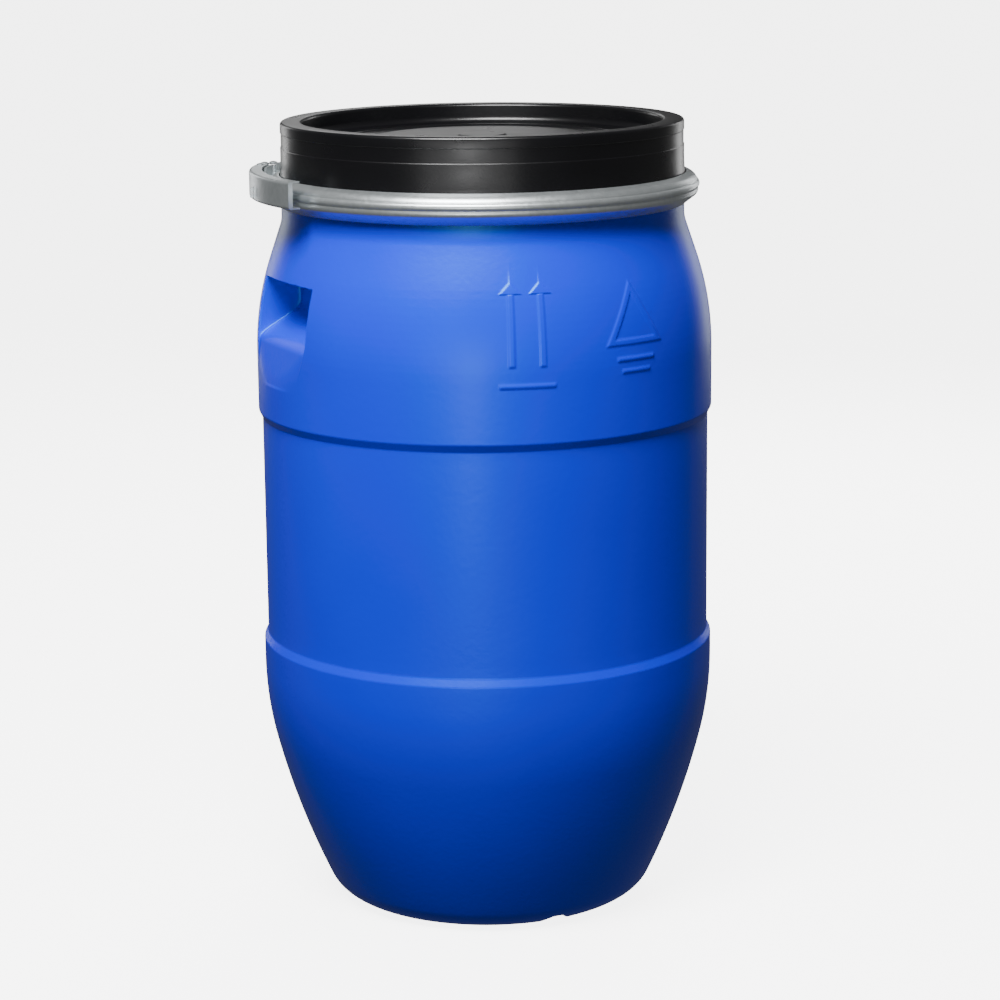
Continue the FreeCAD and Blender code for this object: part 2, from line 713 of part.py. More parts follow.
# ---------------------------------------------------------------- closing ring
def ring_section():
    """The rolled strip: a bent lip, the nose with a ridge below it, and a straight lower flank."""
    wall = size("ring_wall")
    lip_radius, lip = size("ring_lip_radius"), size("ring_lip")
    bend_radius, bend = size("ring_bend_radius"), size("ring_bend")
    high_radius, high = size("high_crease_radius"), size("high_crease")
    low_radius, low = size("low_crease_radius"), size("low_crease")
    foot_radius, foot = size("ring_foot_radius"), size("ring_foot")
    tip_radius, tip = size("ring_tip_radius"), size("ring_tip")
    return [
        (lip_radius, lip),
        (bend_radius, bend),
        (high_radius, high, as_size(0) - size("ring_bend_round")),
        (low_radius, low, as_size(0) - size("ring_nose_round")),
        (foot_radius, foot, as_size(0) - size("ring_foot_round")),
        (tip_radius, tip),
        (tip_radius - wall * 0.6, tip + wall * 0.6),
        (tip_radius + wall * 0.6, tip + wall * 1.67),
        (foot_radius - wall * 0.67, foot + wall * 0.67),
        (low_radius - wall * 0.93, low - wall * 0.13),
        (high_radius - wall * 0.93, high - wall * 0.4),
        (bend_radius - wall * 0.27, bend - wall * 0.87),
        (lip_radius - wall * 0.27, lip - wall * 0.87),
    ]


def make_ring_half(name, side):
    """One half of the ring: side 1 runs from the lock under the lever, side -1 the other way."""
    span = as_size(180) - size("ring_gap") - size("ring_seam")
    half = turned(name, ring_section(), span)
    middle = size("ring_gap") + span / 2
    put(half, size("lock_angle") + middle * side)
    return half


# ---------------------------------------------------------------- lever lock
def round_folds(body):
    """Round the two long outside edges of the lever."""
    doc.recompute()
    solid = body.Tip
    edges = []
    for number, edge in enumerate(solid.Shape.Edges, start=1):
        curved = hasattr(edge.Curve, "Radius")
        if curved and abs(edge.Curve.Radius - VALUES["lever_outer"]) < 0.01:
            edges.append("Edge%d" % number)
    fillet = body.newObject("PartDesign::Fillet", "folds")
    fillet.Base = (solid, edges)
    bind(fillet, "Radius", size("lever_fold"))
    body.Tip = fillet


def make_lever():
    """A folded channel that lies round the ring, open in front of its pivot for the link."""
    body = new_body("lever")
    outer = size("lever_outer")
    inner = size("lever_inner")
    end = size("lever_span")
    wall = size("lever_wall")
    pivot = size("pivot_radius")
    offset = size("pivot_offset")
    nose = size("ear_radius")
    start = size("lever_web_start")
    pad(body, "channel", [
        (outer * cosine(end), outer * sine(end), outer),
        (inner * cosine(end), inner * sine(end)),
        (inner * cosine(start), inner * sine(start), as_size(0) - inner),
        (pivot - nose, offset),
        (pivot, offset - nose, nose),
        (pivot + nose, offset, nose),
        (outer * cosine(start), outer * sine(start)),
    ], size("lever_height"))
    round_folds(body)

    def inside(sketch):
        web = outer - wall
        low = inner - size("cut_reach")
        far = outer + size("cut_reach")
        near = size("cut_reach") / 2
        stop = end - size("lever_end_wall")
        past = end + size("lever_end_wall") * 4
        lip = outer - size("lever_lip")
        draw_outline(sketch, [
            (low * cosine(past), low * sine(past)),
            (low * cosine(start), low * sine(start), as_size(0) - low),
            (low, near),
            (far, near),
            (far, web * sine(start)),
            (web * cosine(start), web * sine(start)),
            (web * cosine(stop), web * sine(stop), web),
            (lip * cosine(stop), lip * sine(stop)),
            (lip * cosine(past), lip * sine(past)),
        ])

    pocket(body, "fold_hollow", inside, size("lever_height") - wall * 2)

    def pins(sketch):
        hole = size("pin_radius") + size("pin_play")
        draw_circle(sketch, pivot, offset, hole)
        draw_circle(sketch, pivot, offset + size("crank"), hole)

    pocket(body, "pin_holes", pins)

    def lug_slot(sketch):
        radius = outer - wall / 2
        angle = size("lug_angle")
        half = size("lug_thickness") / 2 + size("lug_play")
        across = wall
        turn_x = cosine(angle)
        turn_y = sine(angle)
        draw_outline(sketch, [
            ((radius - across) * turn_x + half * turn_y, (radius - across) * turn_y - half * turn_x),
            ((radius + across) * turn_x + half * turn_y, (radius + across) * turn_y - half * turn_x),
            ((radius + across) * turn_x - half * turn_y, (radius + across) * turn_y + half * turn_x),
            ((radius - across) * turn_x - half * turn_y, (radius - across) * turn_y + half * turn_x),
        ])

    lug_level = size("rivet_level") - size("lock_level")
    pocket(body, "lug_slot", lug_slot, size("lug_height") + 2, lug_level)
    put(body, size("lock_angle"), height=size("lock_level"))
    return body


def make_bracket(name):
    """A folded bracket: a curved foot on the ring and two ears for a pin."""
    body = new_body(name)
    seat = size("bracket_seat")
    face = seat + size("bracket_wall")
    near = size("bracket_start")
    far = size("bracket_end")
    pivot = size("pivot_radius")
    offset = size("pivot_offset")
    ear = size("ear_radius")
    pad(body, "foot", [
        (seat * cosine(near), seat * sine(near), as_size(0) - seat),
        (face * cosine(near), face * sine(near)),
        (face * cosine(far), face * sine(far), face),
        (seat * cosine(far), seat * sine(far)),
    ], size("bracket_height"))
    pad(body, "ears", [
        (seat, offset - ear),
        (pivot, offset - ear),
        (pivot + ear, offset, ear),
        (pivot, offset + ear, ear),
        (seat - 0.6, offset + ear),
    ], size("bracket_height"))

    def between(sketch):
        draw_outline(sketch, [
            (face - 0.1, offset - ear - 1),
            (pivot + ear + 1, offset - ear - 1),
            (pivot + ear + 1, offset + ear + 1),
            (face - 0.1, offset + ear + 1),
        ])

    pocket(body, "between_ears", between, size("bracket_height") - size("bracket_wall") * 2)
    pocket(body, "pin_hole", lambda sketch: draw_circle(sketch, pivot, offset, size("pin_radius")))
    return body


def make_link():
    """A strap with an eye at each end: the far eye at Y = 0, the lever's eye at the other end."""
    body = new_body("link")
    eye = size("eye_radius")
    length = size("pivot_offset") * 2 + size("crank")
    strap = eye - size("link_wall")
    lead = size("sketch_shift")
    pad(body, "strap", [
        (lead + strap, 0),
        (lead + eye, 0),
        (lead + eye, length),
        (lead + strap, length),
    ], size("link_width"))
    for name, along in (("far_eye", as_size(0)), ("lever_eye", length)):
        sketch = new_sketch(body, name + "_outline")
        draw_circle(sketch, lead, along, eye)
        ring = body.newObject("PartDesign::Pad", name)
        ring.Profile = sketch
        ring.SideType = "Symmetric"
        bind(ring, "Length", size("link_width"))
        body.Tip = ring

    def holes(sketch):
        hole = size("pin_radius") + size("pin_play")
        draw_circle(sketch, lead, 0, hole)
        draw_circle(sketch, lead, length, hole)

    pocket(body, "eye_holes", holes)
    put(body, size("lock_angle"), size("pivot_radius") - lead, as_size(0) - size("pivot_offset"),
        size("lock_level"))
    return body


def domed_rivet(name, grip, both_ends=True):
    """A rivet along Z that starts at Z = 0, with a domed head at the top or at both ends."""
    shank = size("pin_radius")
    head = size("rivet_head")
    rise = size("rivet_rise")
    dome = (head * head + rise * rise) / (rise * 2)
    edge = size("rivet_edge")
    foot = rise + edge if both_ends else as_size(0)
    top = foot + grip
    section = [
        (shank, foot),
        (shank, top),
        (head, top),
        (head, top + edge),
        (0, top + rise + edge, dome),
    ]
    if both_ends:
        section += [(0, 0), (head, rise, dome), (head, foot)]
    else:
        section += [(0, 0)]
    return turned(name, section)


def make_lock_pin(name, along):
    """A pin through both flanges of the lever."""
    grip = size("lever_height") + size("pin_play") * 4
    pin = domed_rivet(name, grip)
    half = grip / 2 + size("rivet_rise") + size("rivet_edge")
    put(pin, size("lock_angle"), size("pivot_radius"), along, size("lock_level") - half)
    return pin


def make_anchor_pin():
    """The far pivot: a rivet head with its shank in each ear, clear of the link's eye."""
    ear = size("bracket_wall")
    upper = domed_rivet("anchor_pin_upper", ear, both_ends=False)
    put(upper, size("lock_angle"), size("pivot_radius"), as_size(0) - size("pivot_offset"),
        size("lock_level") + size("bracket_height") / 2 - ear)
    lower = doc.addObject("Part::Mirroring", "anchor_pin_lower")
    lower.Source = upper
    lower.Normal = FreeCAD.Vector(0, 0, 1)
    bind(lower, "Base.z", size("lock_level"))
    pair = doc.addObject("Part::Compound", "anchor_pin")
    pair.Links = [upper, lower]
    return pair


def make_bracket_rivets(name, side):
    """Two rivets that hold a bracket's foot to the ring."""
    shank = size("pin_radius")
    seat = size("bracket_seat") + size("bracket_wall")
    rivets = []
    for number in (1, 2):
        rivet = domed_rivet("%s_%d" % (name, number), shank * 2, both_ends=False)
        angle = size("lock_angle") + size("rivet_angle_%d" % number) * side
        level = size("rivet_level")
        radius = seat - shank * 2
        spin = FreeCAD.Rotation(FreeCAD.Vector(0, 0, 1), angle.value)
        lay_down = FreeCAD.Rotation(FreeCAD.Vector(0, 1, 0), 90)
        place = spin.multVec(FreeCAD.Vector(radius.value, 0, level.value))
        rivet.Placement = FreeCAD.Placement(place, spin * lay_down)
        bind(rivet, "Placement.Base.x", radius * cosine(angle))
        bind(rivet, "Placement.Base.y", radius * sine(angle))
        bind(rivet, "Placement.Base.z", level)
        rivets.append(rivet)
    group = doc.addObject("Part::Compound", name)
    group.Links = rivets
    return group


def make_seal_lug():
    """A tab on the ring that comes out through the lever's slot, with a hole for a seal."""
    body = new_body("seal_lug")
    seat = size("bracket_seat")
    thick = size("lug_thickness")
    outer = size("lug_outer")
    reach = size("lug_foot")
    lead = size("sketch_shift")
    pad(body, "foot", [
        (seat, lead - seat * sine(reach)),
        (seat + thick * 0.75, lead - seat * sine(reach)),
        (seat + thick * 0.75, lead + seat * sine(reach)),
        (seat, lead + seat * sine(reach)),
    ], size("lug_height") + 4)
    pad(body, "tab", [
        (seat + 0.3, lead - thick / 2),
        (outer, lead - thick / 2),
        (outer, lead + thick / 2),
        (seat + 0.3, lead + thick / 2),
    ], size("lug_height"))
    doc.recompute()
    before = body.Shape.Volume
    sketch = new_sketch(body, "seal_hole_outline", "XZ_Plane")
    hole_radius = size("seal_hole_radius")
    draw_circle(sketch, outer - hole_radius - size("seal_hole_edge"), 0, hole_radius)
    hole = body.newObject("PartDesign::Pocket", "seal_hole")
    hole.Profile = sketch
    hole.SideType = "Symmetric"
    hole.Type = "ThroughAll"
    body.Tip = hole
    doc.recompute()
    if body.Shape.Volume >= before:
        raise RuntimeError("the seal hole cuts nothing")
    angle = size("lock_angle") + size("lug_angle")
    put(body, angle, along=as_size(0) - lead, height=size("rivet_level"))
    return body


# ---------------------------------------------------------------- assembly
front_rivets = make_bracket_rivets("bracket_rivets_front", 1)
back_rivets = make_bracket_rivets("bracket_rivets_back", -1)
front_bracket = make_bracket("front_bracket_blank")
put(front_bracket, size("lock_angle"), height=size("lock_level"))
back_bracket = doc.addObject("Part::Mirroring", "back_bracket_blank")
back_bracket.Source = make_bracket("back_bracket_pattern")
back_bracket.Normal = FreeCAD.Vector(0, 1, 0)
put(back_bracket, size("lock_angle"), height=size("lock_level"))

nodes = [
    make_drum_body(),
    make_lid(),
    make_gasket(),
    combined("Cut", "ring_band_front", make_ring_half("front_strip", 1), front_rivets),
    combined("Cut", "ring_band_back", make_ring_half("back_strip", -1), back_rivets),
    combined("Cut", "fulcrum_bracket", front_bracket, front_rivets),
    combined("Cut", "link_bracket", back_bracket, back_rivets),
    front_rivets,
    back_rivets,
    make_lever(),
    make_link(),
    make_lock_pin("lever_pin", size("pivot_offset")),
    make_lock_pin("link_pin", size("pivot_offset") + size("crank")),
    make_anchor_pin(),
    make_seal_lug(),
]
doc.recompute()

for thing in doc.Objects:
    if "Invalid" in thing.State or "Error" in thing.State:
        raise RuntimeError("%s failed: %s" % (thing.Name, thing.State))
for node in nodes:
    if node.Shape.isNull() or not node.Shape.isValid():
        raise RuntimeError(node.Name + " has no valid shape")
for node in nodes:
    node.Label = node.Name
    node.Shape.exportStep("parts/%s.step" % node.Label)
    print("%-22s %10.1f cm3  %d solid(s)" % (node.Label, node.Shape.Volume / 1000, len(node.Shape.Solids)))
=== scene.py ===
"""Looks of an open head drum with lid and lever-lock closing ring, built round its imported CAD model.

The drum's frame: origin at the centre of the foot, +Z up, hand grips at -X and +X.
Outlines are given in millimetres and turned into metres when a mesh is made.
"""
import json
import math

import bmesh
import bpy
import numpy as np
from mathutils import Euler, Matrix, Vector


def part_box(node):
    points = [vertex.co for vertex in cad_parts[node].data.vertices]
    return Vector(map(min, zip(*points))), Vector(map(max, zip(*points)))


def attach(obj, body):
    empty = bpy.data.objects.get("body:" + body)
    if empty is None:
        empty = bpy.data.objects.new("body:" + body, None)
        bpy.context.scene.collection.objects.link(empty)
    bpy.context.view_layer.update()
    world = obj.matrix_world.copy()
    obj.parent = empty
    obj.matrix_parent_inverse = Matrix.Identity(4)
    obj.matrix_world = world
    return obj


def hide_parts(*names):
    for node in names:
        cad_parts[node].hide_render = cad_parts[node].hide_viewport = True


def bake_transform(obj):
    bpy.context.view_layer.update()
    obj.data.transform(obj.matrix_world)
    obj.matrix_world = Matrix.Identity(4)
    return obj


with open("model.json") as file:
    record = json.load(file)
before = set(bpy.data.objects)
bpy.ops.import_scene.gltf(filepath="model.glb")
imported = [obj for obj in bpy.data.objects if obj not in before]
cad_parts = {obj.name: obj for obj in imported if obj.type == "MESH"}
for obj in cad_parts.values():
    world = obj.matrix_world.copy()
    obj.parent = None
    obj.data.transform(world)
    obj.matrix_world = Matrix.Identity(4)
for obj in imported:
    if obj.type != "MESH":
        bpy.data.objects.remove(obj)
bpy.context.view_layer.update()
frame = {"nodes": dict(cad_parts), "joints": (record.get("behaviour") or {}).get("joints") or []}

MM = 0.001
UP = Vector((0, 0, 1))


def joint_place(name):
    """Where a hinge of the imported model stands."""
    joint = next(j for j in frame["joints"] if j["name"] == name)
    return Vector(joint["pos_m"])


# ---------------------------------------------------------------- outlines
def arc(start, end, radius, steps):
    """Points of the arc after start, up to and with end; a positive radius turns left."""
    first, last = Vector(start), Vector(end)
    chord = last - first
    reach = math.sqrt(max(radius * radius - chord.length_squared / 4, 0))
    left = Vector((-chord.y, chord.x)).normalized()
    centre = (first + last) / 2 + left * math.copysign(reach, radius)
    begin = math.atan2(first.y - centre.y, first.x - centre.x)
    sweep = 2 * math.asin(min(chord.length / 2 / abs(radius), 1)) * math.copysign(1, radius)
    angles = [begin + sweep * step / steps for step in range(1, steps + 1)]
    return [(centre.x + abs(radius) * math.cos(a), centre.y + abs(radius) * math.sin(a)) for a in angles]


def rounded(corners, steps=5):
    """An open outline whose corners (across, up, radius) are rounded; a radius of 0 stays sharp."""
    points = []
    for index, corner in enumerate(corners):
        here = Vector(corner[:2])
        radius = corner[2] if len(corner) > 2 else 0
        if radius == 0 or index in (0, len(corners) - 1):
            points.append(tuple(here))
            continue
        back = (Vector(corners[index - 1][:2]) - here)
        onward = (Vector(corners[index + 1][:2]) - here)
        turn = back.angle(onward)
        cut = radius / math.tan(turn / 2)
        cut = min(cut, back.length * 0.49, onward.length * 0.49)
        radius = cut * math.tan(turn / 2)
        first = here + back.normalized() * cut
        last = here + onward.normalized() * cut
        left = (-back).cross(onward) > 0
        points.append(tuple(first))
        points += arc(first, last, radius if left else -radius, steps)
    return points


def spaced(points, pitch):
    """The same outline with points added so that none lie further apart than pitch(height)."""
    result = [points[0]]
    for first, last in zip(points, points[1:]):
        length = math.dist(first, last)
        parts = max(1, math.ceil(length / pitch((first[1] + last[1]) / 2) - 0.01))
        for part in range(1, parts + 1):
            share = part / parts
            result.append(tuple(a + (b - a) * share for a, b in zip(first, last)))
    return result


# ---------------------------------------------------------------- meshes
def mesh_object(name, vertices, faces, smooth_angle=40):
    """An object from vertices in millimetres, smooth where its faces meet at a shallow angle."""
    mesh = bpy.data.meshes.new(name)
    mesh.from_pydata((np.asarray(vertices) * MM).tolist(), [], faces)
    mesh.validate()
    work = bmesh.new()
    work.from_mesh(mesh)
    bmesh.ops.remove_doubles(work, verts=work.verts, dist=0.00002)
    bmesh.ops.recalc_face_normals(work, faces=work.faces)
    for face in work.faces:
        face.smooth = True
    for edge in work.edges:
        if len(edge.link_faces) == 2 and edge.calc_face_angle(0) > math.radians(smooth_angle):
            edge.smooth = False
    work.to_mesh(mesh)
    work.free()
    thing = bpy.data.objects.new(name, mesh)
    bpy.context.scene.collection.objects.link(thing)
    return thing


def lathe(name, outline, angles, closed_outline=False, bend=None, smooth_angle=40):
    """Turn an outline in millimetres about Z through the given angles, in radians.

    The turn is closed when the angles go all the way round. bend may move the grid of points.
    """
    angles = np.asarray(angles)
    whole = (angles[-1] - angles[0]) > math.tau - 0.1
    outline = np.asarray(outline)
    radius, height = outline[:, 0], outline[:, 1]
    grid = np.stack([
        np.outer(np.cos(angles), radius),
        np.outer(np.sin(angles), radius),
        np.tile(height, (len(angles), 1)),
    ], axis=-1)
    if bend is not None:
        grid = bend(grid)
    columns, rows = grid.shape[:2]
    faces = []
    column_count = columns if whole else columns - 1
    row_count = rows if closed_outline else rows - 1
    for column in range(column_count):
        near = column * rows
        far = (column + 1) % columns * rows
        for row in range(row_count):
            after = (row + 1) % rows
            faces.append((near + row, far + row, far + after, near + after))
    if not whole:
        faces.append(tuple(range(rows)))
        faces.append(tuple((columns - 1) * rows + row for row in reversed(range(rows))))
    return mesh_object(name, grid.reshape(-1, 3), faces, smooth_angle)


def even_turn(steps, start=0.0, sweep=math.tau):
    """Angles of a full turn, or of a sector with both its ends."""
    if sweep >= math.tau:
        return [start + math.tau * step / steps for step in range(steps)]
    return [start + sweep * step / steps for step in range(steps + 1)]


# ---------------------------------------------------------------- sizes
# Millimetres and degrees, as in the CAD model. A pair is (radius, height).
WALL = 4.0

BASE = (112, 10)
BASE_TURN = (123, 6.5)
BASE_LIP = (131, 1.4)
FOOT_INNER = 135
FOOT = 142
CHIME_TOP = (174.6, 22)
CHIME_ROUND = 38.2
CONE_TOP = (228.7, 174.6)
CONE_ROUND = 850
BELLY = 239.3
BELLY_LOW = 260.3
TURN_ROUND = 352
WAIST = 235.3
LOW_LEDGE = (284, 292)
HIGH_LEDGE = (523, 531)
SHOULDER_LOW = 594
SHOULDER_END = (223.4, 690)
SHOULDER_ROUND = 300
NECK_START = (211.9, 724)
NECK_ROUND = 36
NECK = 210.3
NECK_LOW = 735.1
FLANGE = 219.8
FLANGE_LOW = 747.6
FLANGE_EDGE = 753.6
MOUTH = 196
MOUTH_TOP = 757
BORE = 206.3
BORE_TOP = 742
MOUTH_LIP = 748

NOTCH_ROUND = 20
NOTCH_HEIGHT = 10.5
NOTCH_END = 132
NOTCH_SOFT = 1.2

GRIP_START = 172.0
GRIP_DRAFT = math.radians(9)
GRIP_HALF_WIDTH = 55
GRIP_LOW_HALF_WIDTH = 42
GRIP_SIDE_LOW = 582
GRIP_TOOL_LOW = 578
GRIP_MOUTH = (240.5, 563)
GRIP_MOUTH_SLOPE = 0.23
GRIP_CREASE = (229, 613)
GRIP_SHELF_SLOPE = 1.607
GRIP_BACK = (184, 668)
GRIP_CEILING_SLOPE = 5.625
GRIP_LOW, GRIP_HIGH = 540, 712
GRIP_TURN = 22

MARK_BODY = 236.0
MARK_STROKE = 6
MARK_SOFT = 1.8
MARK_HEIGHTS = (575, 700)
ARROWS_ANGLE = 255
ARROW_SHIFT = 15.5
ARROW_HEIGHTS = (608, 690)
ARROW_HEAD = 23
ARROW_BAR = (587, 591, 28)
TRIANGLE_ANGLE = 284
TRIANGLE_HEIGHTS = (622, 684)
TRIANGLE_HALF_WIDTH = 36
TRIANGLE_BARS = ((606, 610, 23.5), (594, 598, 18))

LID_FLOOR = 810
LID_UNDERSIDE = 806
LID_BOSS = (24, 815)
LID_MIDDLE = (111, 813)
LID_BEAD = (147, 811.4)
LID_RIM_INNER = 187.2
LID_RIM = 210
LID_BAND = (804, 819.6)
LID_BAND_DEPTH = 0.7
FLARE_START = 795
FLARE_END = (210.8, 777)
FLARE_ROUND = 200
CLAMP_HIGH = 772.4
CLAMP_STEP = (214.9, 771.2)
LID_FLANGE = 220.9
LID_FLANGE_HIGH = 765.6
LID_FLANGE_LOW = 757.6
SEAT = (198.8, 210.2)
SEAT_ROOF = 763.4
PLUG = 194.6
PLUG_TOP = 758.6
PLUG_LOW = 744
PLUG_INNER = 190.6

GASKET = (199, 210)
GASKET_HEIGHT = 5.9
GASKET_ROUND = 1.6


def within(point, up=0.0):
    """The point one wall further in, and moved up."""
    return (point[0] - WALL, point[1] + up)


# ---------------------------------------------------------------- hand grips, notch and marks
def soft_max(a, b, width):
    """The larger of two fields with the crease between them rounded over width."""
    overlap = np.clip(0.5 + (a - b) / (2 * width), 0, 1)
    return b + (a - b) * overlap + width * overlap * (1 - overlap)


def soft_min(a, b, width):
    return -soft_max(-a, -b, width)


def grip_depth(y, z, grow):
    """Distance of a hand grip's surface from the drum's axis plane, over across and height."""
    lower = GRIP_MOUTH[0] - GRIP_MOUTH_SLOPE * (z - GRIP_MOUTH[1]) - grow
    shelf = GRIP_CREASE[0] - GRIP_SHELF_SLOPE * (z - GRIP_CREASE[1]) - grow * 1.5
    ceiling = GRIP_BACK[0] + GRIP_CEILING_SLOPE * (z - GRIP_BACK[1]) - grow * 5.6
    floor = soft_min(lower, shelf, 9)
    side = np.abs(y) - GRIP_HALF_WIDTH
    slanted = (np.abs(y) - GRIP_LOW_HALF_WIDTH) * 0.94 - (z - GRIP_SIDE_LOW) * 0.34
    outline = soft_max(soft_max(side, slanted, 3), GRIP_TOOL_LOW - z, 5)
    ends = GRIP_START + (outline - grow) / math.tan(GRIP_DRAFT)
    back = np.full_like(z, GRIP_BACK[0]) - grow
    hollow = soft_max(soft_max(floor, back, 10), ceiling, 6)
    return soft_max(hollow, ends, 9)


def press_grips(grid, grow, soft):
    """Push the wall in where the two hand grips are."""
    x, y, z = grid[..., 0], grid[..., 1], grid[..., 2]
    pressed = soft_min(np.abs(x), grip_depth(y, z, grow), soft)
    near = (np.abs(y) < 90) & (z > GRIP_LOW) & (z < GRIP_HIGH) & (np.abs(x) > 100)
    result = grid.copy()
    result[..., 0] = np.where(near, np.sign(x) * pressed, x)
    return result


def press_notch(skin, grow):
    """Lift a skin of the base over the notch in the foot."""
    x, y, z = skin[..., 0], skin[..., 1], skin[..., 2]
    width = NOTCH_ROUND + grow
    top = NOTCH_HEIGHT - NOTCH_ROUND + np.sqrt(np.clip(width * width - x * x, 0, None))
    under = (y < grow - NOTCH_END) & (z < 40) & (top > z - 3)
    skin[..., 2] = np.where(under, soft_max(z, top, NOTCH_SOFT), z)
    return skin


def bar_distance(u, v, low, high, half):
    """Signed distance from an upright bar."""
    return np.maximum(np.abs(u) - half, np.abs(v - (low + high) / 2) - (high - low) / 2)


def arrow_distance(u, v, low, tip):
    """Signed distance from an arrow that points up, with a right-angled head."""
    shaft = bar_distance(u, v, low, tip - ARROW_HEAD / 2, MARK_STROKE / 2)
    wedge = np.maximum((tip - ARROW_HEAD / 2) - v, (np.abs(u) + (v - tip)) * 0.7071)
    return np.minimum(shaft, wedge)


def triangle_distance(u, v, low, high, half):
    """Signed distance from a triangular frame."""
    slope = math.hypot(high - low, half)
    side = ((high - low) * np.abs(u) + half * (v - high)) / slope
    edge = np.maximum(side, low - v)
    return np.maximum(edge, -edge - MARK_STROKE)


def emblem_lift(angle, z):
    """How far the moulded marks stand out: two arrows over a bar, and a triangle over two bars."""
    u = (angle - math.radians(ARROWS_ANGLE)) * MARK_BODY
    w = (angle - math.radians(TRIANGLE_ANGLE)) * MARK_BODY
    marks = [arrow_distance(u + shift, z, *ARROW_HEIGHTS) for shift in (ARROW_SHIFT, -ARROW_SHIFT)]
    marks.append(bar_distance(u, z, *ARROW_BAR))
    marks.append(triangle_distance(w, z, *TRIANGLE_HEIGHTS, TRIANGLE_HALF_WIDTH))
    marks += [bar_distance(w, z, *bar) for bar in TRIANGLE_BARS]
    rise = np.clip(0.5 - np.minimum.reduce(marks) / MARK_SOFT, 0, 1)
    return rise * rise * (3 - 2 * rise)


# ---------------------------------------------------------------- drum shell
def drum_outside():
    """The outer outline, from the middle of the base up and over the mouth to the bore."""
    points = [(0, BASE[1]), BASE] + arc(BASE, BASE_TURN, -16, 4)
    points += [BASE_LIP] + arc(BASE_LIP, (FOOT_INNER, 0), 6, 3)
    points += [(FOOT, 0)] + arc((FOOT, 0), CHIME_TOP, CHIME_ROUND, 12)
    points += arc(CHIME_TOP, CONE_TOP, CONE_ROUND, 14)
    points += arc(CONE_TOP, (BELLY, BELLY_LOW), TURN_ROUND, 12)
    points += rounded([
        (BELLY, BELLY_LOW), (BELLY, LOW_LEDGE[0], 5), (WAIST, LOW_LEDGE[1], 6),
        (WAIST, HIGH_LEDGE[0], 3.5), (BELLY, HIGH_LEDGE[1], 5), (BELLY, SHOULDER_LOW),
    ], 6)[1:]
    points += arc((BELLY, SHOULDER_LOW), SHOULDER_END, SHOULDER_ROUND, 12)
    points += [NECK_START] + arc(NECK_START, (NECK, NECK_LOW), -NECK_ROUND, 5)
    points += rounded([
        (NECK, NECK_LOW), (NECK, FLANGE_LOW, 2), (FLANGE, FLANGE_EDGE, 1), (FLANGE, MOUTH_TOP, 1.2),
        (MOUTH, MOUTH_TOP, 2.5), (MOUTH, MOUTH_LIP, 2), (BORE, BORE_TOP), (BORE, NECK_LOW),
    ], 4)[1:]
    return points


def drum_inside():
    """The inner outline, from the neck down to the middle of the base."""
    belly, waist = BELLY - WALL, WAIST - WALL
    chime = within(CHIME_TOP, up=1.6)
    points = [within(NECK_START), within(SHOULDER_END)]
    points += arc(within(SHOULDER_END), (belly, SHOULDER_LOW), WALL - SHOULDER_ROUND, 8)
    points += rounded([
        (belly, SHOULDER_LOW), (belly, HIGH_LEDGE[1], 4), (waist, HIGH_LEDGE[0], 4),
        (waist, LOW_LEDGE[1], 4), (belly, LOW_LEDGE[0], 4), (belly, BELLY_LOW),
    ], 4)[1:]
    points += arc((belly, BELLY_LOW), within(CONE_TOP), WALL - TURN_ROUND, 8)
    points += arc(within(CONE_TOP), chime, WALL - CONE_ROUND, 10)
    points += arc(chime, (FOOT, WALL), WALL - CHIME_ROUND, 7)
    return points + [(134, WALL), (118, BASE[1] + WALL), (0, BASE[1] + WALL)]


def outer_pitch(height):
    """Fine rows at the grips and marks, and finest at the grips' upper edge."""
    if 664 < height < 680:
        return 0.6
    return 1.3 if 556 < height < 698 else 14


def inner_pitch(height):
    return 3 if 556 < height < 698 else 30


def drum_columns():
    """Angles of the shell's columns, close together at the grips' ends and at the marks."""
    stops = [(0, 12, 1), (12, 18, 0.13), (18, GRIP_TURN, 0.5), (GRIP_TURN, 180 - GRIP_TURN, 2)]
    east = [a for low, high, step in stops for a in np.arange(low, high - 1e-6, step)]
    grip = [a for a in east if a < GRIP_TURN]
    columns = east + [180 - a for a in grip] + [-a for a in grip if a > 0] + [180 + a for a in grip]
    columns += list(np.arange(202, 245, 1.5)) + list(np.arange(245, 296, 0.25))
    columns += list(np.arange(296, 338, 1.5))
    return np.radians(sorted(set(round(float(a) % 360, 3) for a in columns)))


def make_drum_shell():
    outer = spaced(drum_outside(), outer_pitch)
    inner = spaced(drum_inside(), inner_pitch)
    split = len(outer)

    def bend(grid):
        x, y, z = grid[:, :split, 0], grid[:, :split, 1], grid[:, :split, 2]
        radius = np.hypot(x, y)
        marked = (z > MARK_HEIGHTS[0]) & (z < MARK_HEIGHTS[1]) & (radius > 215)
        lift = np.where(marked, emblem_lift(np.arctan2(y, x) % math.tau, z), 0)
        skin = press_grips(grid[:, :split], 0, 3.4)
        skin[..., :2] += grid[:, :split, :2] / np.maximum(radius, 1)[..., None] * lift[..., None]
        lining = press_grips(grid[:, split:], WALL, 4)
        return np.concatenate([press_notch(skin, 0), press_notch(lining, WALL)], axis=1)

    return lathe("drum_shell", outer + inner, drum_columns(), bend=bend, smooth_angle=50)


